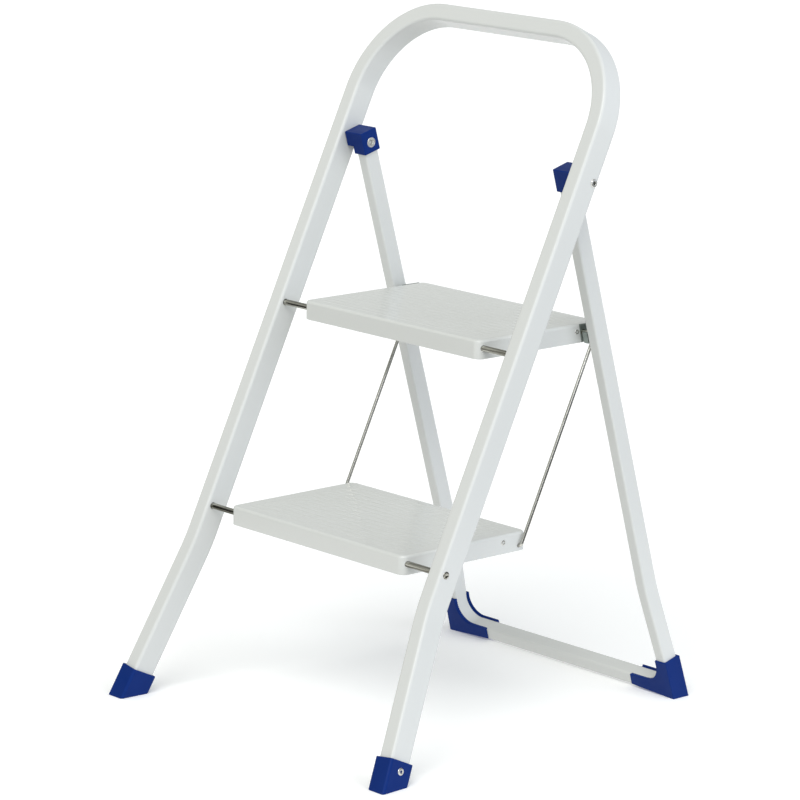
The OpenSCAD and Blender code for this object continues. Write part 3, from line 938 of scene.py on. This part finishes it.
def catch_pin(name, mirror):
    """The pin that drops into the saddle on the rear leg: shouldered, flanged on the inside."""
    inner = STEP_W / 2 - SHEET - PLATE_T
    shoulder = STEP_W / 2 + CORNER_PLATE_T + 2 * GAP
    profile = [
        (inner - 1.5, 2.4), (inner - 1.4, 3.2), (inner - 1.0, 3.5), (inner - GAP, 3.5),
        (inner - GAP, PIN_NECK_R), (shoulder, PIN_NECK_R), (shoulder, PIN_R - 0.3),
        (shoulder + 0.3, PIN_R), (PIN_END_X - 0.7, PIN_R), (PIN_END_X - 0.2, PIN_R - 0.35),
        (PIN_END_X, PIN_R - 0.9),
    ]
    bm = bmesh.new()
    lathe(bm, profile, (0.0, PIN_BACK, 0.0))
    piece(f"catch_pin_rod_{name}", bm, mirror @ UPPER, "upper_step_body", "bright_rod",
          [f"catch_pin_{name}"])


def pressed_fittings():
    """Small sheet fittings keep their CAD shape, with rounded edges and the zinc finish, darkened with
    painted shade.
    """
    for name in ("catch_bracket", "upper_wire_plate", "upper_corner_plate", "lower_wire_plate"):
        for side in ("left", "right"):
            node = frame["nodes"][f"{name}_{side}"]
            node.data.materials.clear()
            node.data.materials.append(zinc_sheet())
            bevel = node.modifiers.new("rolled_edge", "BEVEL")
            bevel.width, bevel.segments = 0.25 * MM, 2
            bevel.limit_method, bevel.angle_limit = "ANGLE", math.radians(35)


# ---------------------------------------------------------------- studio

def floor():
    """A large pale floor with a trace of unevenness; the light from below is the world's instead."""
    bm = bmesh.new()
    bmesh.ops.create_grid(bm, x_segments=8, y_segments=8, size=60.0)
    obj = add_object("floor", mesh_from(bm, Matrix.Identity(4)))
    s = Shader("floor_paint")
    s.link(s.mix(s.noise(1.5, 3.0), (0.93, 0.93, 0.93), (0.95, 0.95, 0.95)), s.bsdf.inputs["Base Color"])
    s.link(s.spread(s.noise(5.0, 3.0), 0.75, 0.85), s.bsdf.inputs["Roughness"])
    s.fixed(Specular_IOR_Level=0.15, Emission_Color=(1.0, 1.0, 1.0, 1.0), Emission_Strength=0.17)
    obj.data.materials.append(s.material)
    obj.visible_diffuse = obj.visible_shadow = False


ZENITH = (0.42, 0.43, 0.42)
WARM_SIDE = (0.67, 0.68, 0.63)
COOL_SIDE = (0.80, 0.86, 1.00)
GROUND = (0.80, 0.81, 0.80)
RIGHT_SIDE = Vector((0.85, 0.53, 0.0))


def studio_world():
    """Soft light from all round: cooler and brighter from the right, warmer from the front left."""
    world = bpy.data.worlds.new("studio")
    bpy.context.scene.world = world
    world.use_nodes = True
    sky = Nodes(world.node_tree)
    coords = sky.add("ShaderNodeTexCoord").outputs["Generated"]
    parts = sky.add("ShaderNodeSeparateXYZ")
    sky.link(coords, parts.inputs["Vector"])
    across = sky.add("ShaderNodeVectorMath", operation="DOT_PRODUCT")
    across.inputs[1].default_value = RIGHT_SIDE.normalized()
    sky.link(coords, across.inputs[0])
    towards_right = sky.spread(across.outputs["Value"], 0.0, 1.0, -0.6, 0.9, "SMOOTHSTEP")
    towards_top = sky.spread(parts.outputs["Z"], 0.0, 1.0, 0.0, 0.9, "SMOOTHSTEP")
    above_floor = sky.spread(parts.outputs["Z"], 0.0, 1.0, -0.1, 0.0, "SMOOTHSTEP")
    colour = sky.mix(towards_top, sky.mix(towards_right, WARM_SIDE, COOL_SIDE), ZENITH)
    back = world.node_tree.nodes["Background"]
    sky.link(sky.mix(above_floor, GROUND, colour), back.inputs["Color"])
    back.inputs["Strength"].default_value = 1.0


def sun(name, azimuth, elevation, strength, colour, spread_deg, glossy=True):
    """A wide soft light from an azimuth measured like the views': 0 in front, 90 on the right."""
    data = bpy.data.lights.new(name, "SUN")
    data.energy, data.color, data.angle = strength, colour, math.radians(spread_deg)
    obj = bpy.data.objects.new(name, data)
    bpy.context.scene.collection.objects.link(obj)
    a, e = math.radians(azimuth), math.radians(elevation)
    towards = Vector((math.sin(a) * math.cos(e), -math.cos(a) * math.cos(e), math.sin(e)))
    obj.rotation_mode = "QUATERNION"
    obj.rotation_quaternion = towards.to_track_quat("Z", "Y")
    obj.visible_glossy = glossy


def lights():
    sun("key_softbox", 32, 48, 1.68, (1.0, 1.0, 0.97), 40)
    sun("right_softbox", 100, 24, 0.95, (0.89, 0.94, 1.0), 50, glossy=False)


def dark_cards():
    """Dark gauze round the set, seen only in gloss, so that the bright rods have something to mirror."""
    s = Shader("card_cloth")
    weave = s.add("ShaderNodeAttribute", attribute_name="weave")
    s.link(weave.outputs["Fac"], s.bsdf.inputs["Alpha"])
    s.link(s.mix(s.noise(40.0, 3.0), (0.02, 0.02, 0.02), (0.04, 0.04, 0.04)), s.bsdf.inputs["Base Color"])
    s.link(s.spread(s.noise(300.0, 3.0), 0.85, 1.0), s.bsdf.inputs["Roughness"])
    radius, low, across, up, fade = 1.0, 0.02, 12, 6, 2
    for k, (start, end, high) in enumerate(((60, 178, 0.60), (296, 324, 0.80))):
        bm = bmesh.new()
        from_x = [math.radians(azimuth - 90) for azimuth in (start, end)]
        arc = arc_points((0.0, 0.0), radius, *from_x, across)
        heights = [low + (high - low) * j / up for j in range(up + 1)]
        grid = [[bm.verts.new((x, y, z)) for z in heights] for x, y in arc]
        for a, b in zip(grid, grid[1:]):
            for j in range(up):
                bm.faces.new((a[j], b[j], b[j + 1], a[j + 1]))
        card = add_object(f"dark_card_{k}", mesh_from(bm, Matrix.Identity(4)))
        density = card.data.attributes.new("weave", "FLOAT", "POINT")
        for n, point in enumerate(density.data):
            i, j = divmod(n, up + 1)
            point.value = min(1.0, i / fade, (across - i) / fade, (up - j) / fade)
        card.data.materials.append(s.material)
        card.visible_camera = card.visible_diffuse = card.visible_shadow = False


def camera():
    """The photograph's viewing angle: from the front right, a little above, with a long lens."""
    data = bpy.data.cameras.new("camera")
    data.sensor_width = 36.0
    data.lens = 173.47
    data.shift_x, data.shift_y = -0.0093, -0.0244
    data.clip_start, data.clip_end = 0.1, 200.0
    obj = bpy.data.objects.new("camera", data)
    bpy.context.scene.collection.objects.link(obj)
    azimuth, elevation, roll = (math.radians(a) for a in (47.64, 12.18, 0.94))
    turn = Matrix.Rotation(azimuth, 4, "Z") @ Matrix.Rotation(math.pi / 2 - elevation, 4, "X")
    turn = turn @ Matrix.Rotation(roll, 4, "Z")
    obj.matrix_world = Matrix.Translation((3.16419, -2.90203, 1.30541)) @ turn
    bpy.context.scene.camera = obj


# ---------------------------------------------------------------- the scene

front_frame()
rear_frame()
upper_axle()
lower_axle()
foot_rivets()
for side in sides():
    front_foot(*side)
    rear_boot(*side)
    pivot_cap(*side)
    pivot_rivet(*side)
    tie_wire(*side)
    catch_pin(*side)
for step, step_place in (("upper", UPPER), ("lower", LOWER)):
    step_pan(step, step_place, f"{step}_step_body", f"{step}_step")
    plate_rivets(step, step_place, f"{step}_step_body", f"{step}_plate_rivets")
pressed_fittings()

floor()
studio_world()
lights()
dark_cards()
camera()
bpy.context.scene.view_settings.view_transform = "Standard"
